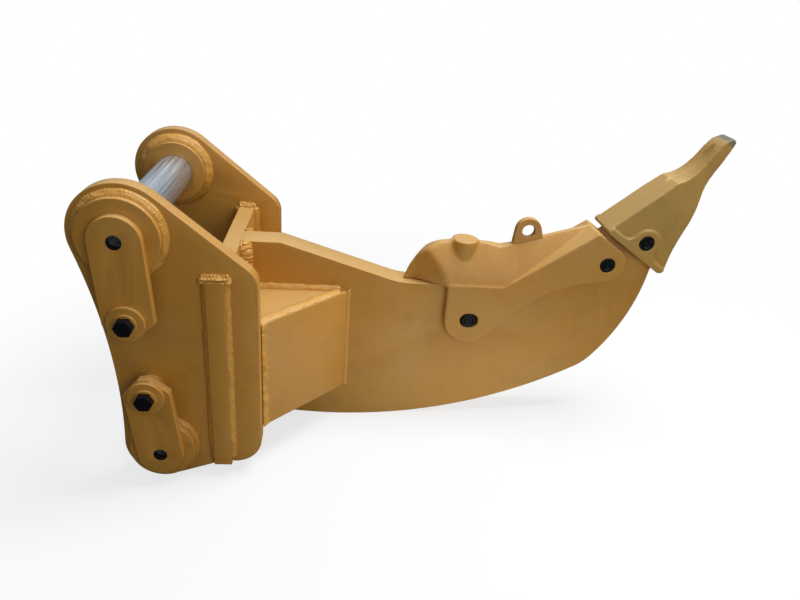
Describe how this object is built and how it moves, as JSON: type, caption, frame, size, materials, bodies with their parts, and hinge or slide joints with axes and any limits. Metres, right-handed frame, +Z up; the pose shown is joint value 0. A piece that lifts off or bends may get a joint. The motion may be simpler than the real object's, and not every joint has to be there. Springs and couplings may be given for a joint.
{
  "type": "excavator ripper",
  "caption": "Single-shank excavator ripper: two-ear pin-on hanger, curved shank, cast shank protector with lifting eye and pinned ripper tooth.",
  "frame": {"origin": "centre of the upper pin, midway between the two ears", "axes": "+X from the ears towards the tooth, +Y to the left, along the pins, +Z up as the ripper stands on level ground"},
  "size_m": [1.4668, 0.6255, 0.7427],
  "materials": {
    "painted_plate": "machine yellow enamel sprayed over rolled and flame-cut steel plate",
    "painted_weld": "the same enamel over rippled weld beads",
    "painted_casting": "thin yellow paint over sand-cast alloy steel",
    "ground_pin_steel": "ground and hardened bare steel",
    "black_steel": "black oxide steel, satin",
    "spring_steel": "dark spring steel"
  },
  "bodies": {
    "root": {"cross_plate": "painted_plate", "cross_plate_welds": "painted_weld", "gusset_bottom_cap_left": "painted_plate", "gusset_bottom_cap_right": "painted_plate", "gusset_plate_left": "painted_plate", "gusset_plate_right": "painted_plate", "gusset_top_cap_left": "painted_plate", "gusset_top_cap_right": "painted_plate", "gusset_welds": "painted_weld", "lifting_eye": "painted_plate", "lower_boss_welds": "painted_weld", "lower_inner_boss_left": "painted_plate", "lower_inner_boss_right": "painted_plate", "lower_keeper_bolt": "black_steel", "lower_keeper_boss": "painted_plate", "lower_keeper_disc": "painted_plate", "lower_keeper_washer": "painted_plate", "lower_outer_boss_left": "painted_plate", "lower_outer_boss_right": "painted_plate", "lower_pin": "ground_pin_steel", "lower_pin_flag": "painted_plate", "protector_front_pin": "black_steel", "protector_front_retainer": "spring_steel", "protector_rear_pin": "black_steel", "protector_rear_retainer": "spring_steel", "ripper_tooth": "painted_casting", "shank": "painted_plate", "shank_protector": "painted_casting", "shank_welds": "painted_weld", "side_plate_left": "painted_plate", "side_plate_right": "painted_plate", "tooth_pin": "black_steel", "tooth_retainer": "spring_steel", "upper_boss_welds": "painted_weld", "upper_inner_boss_left": "painted_plate", "upper_inner_boss_right": "painted_plate", "upper_keeper_bolt": "black_steel", "upper_keeper_boss": "painted_plate", "upper_keeper_disc": "painted_plate", "upper_keeper_washer": "painted_plate", "upper_outer_boss_left": "painted_plate", "upper_outer_boss_right": "painted_plate", "upper_pin": "ground_pin_steel", "upper_pin_flag": "painted_plate"}
  },
  "joints": []
}
